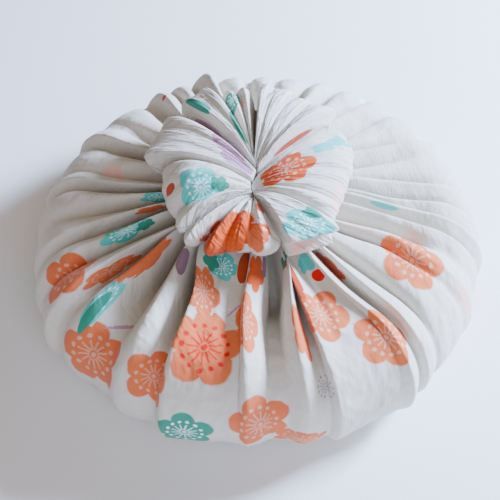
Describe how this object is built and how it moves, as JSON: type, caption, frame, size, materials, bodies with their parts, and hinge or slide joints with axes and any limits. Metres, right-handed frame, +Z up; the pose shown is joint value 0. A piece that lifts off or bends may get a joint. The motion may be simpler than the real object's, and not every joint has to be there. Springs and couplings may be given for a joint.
{
  "type": "furoshiki wrap",
  "caption": "Square cotton wrapping cloth gathered in pleats over a flat round bundle, its ends puffed into a rosette on top.",
  "frame": {"origin": "middle of the wrap's outline seen from above, on the surface that it rests on", "axes": "+Z up through the rosette; -Y is the side that faces the viewer in the picture, +X to the viewer's right"},
  "size_m": [0.3576, 0.3558, 0.155],
  "materials": {
    "printed_cotton": "matt plain-weave cotton, off-white, printed with plum blossoms in coral and turquoise"
  },
  "bodies": {
    "root": {"furoshiki_cloth": "printed_cotton"}
  },
  "joints": []
}
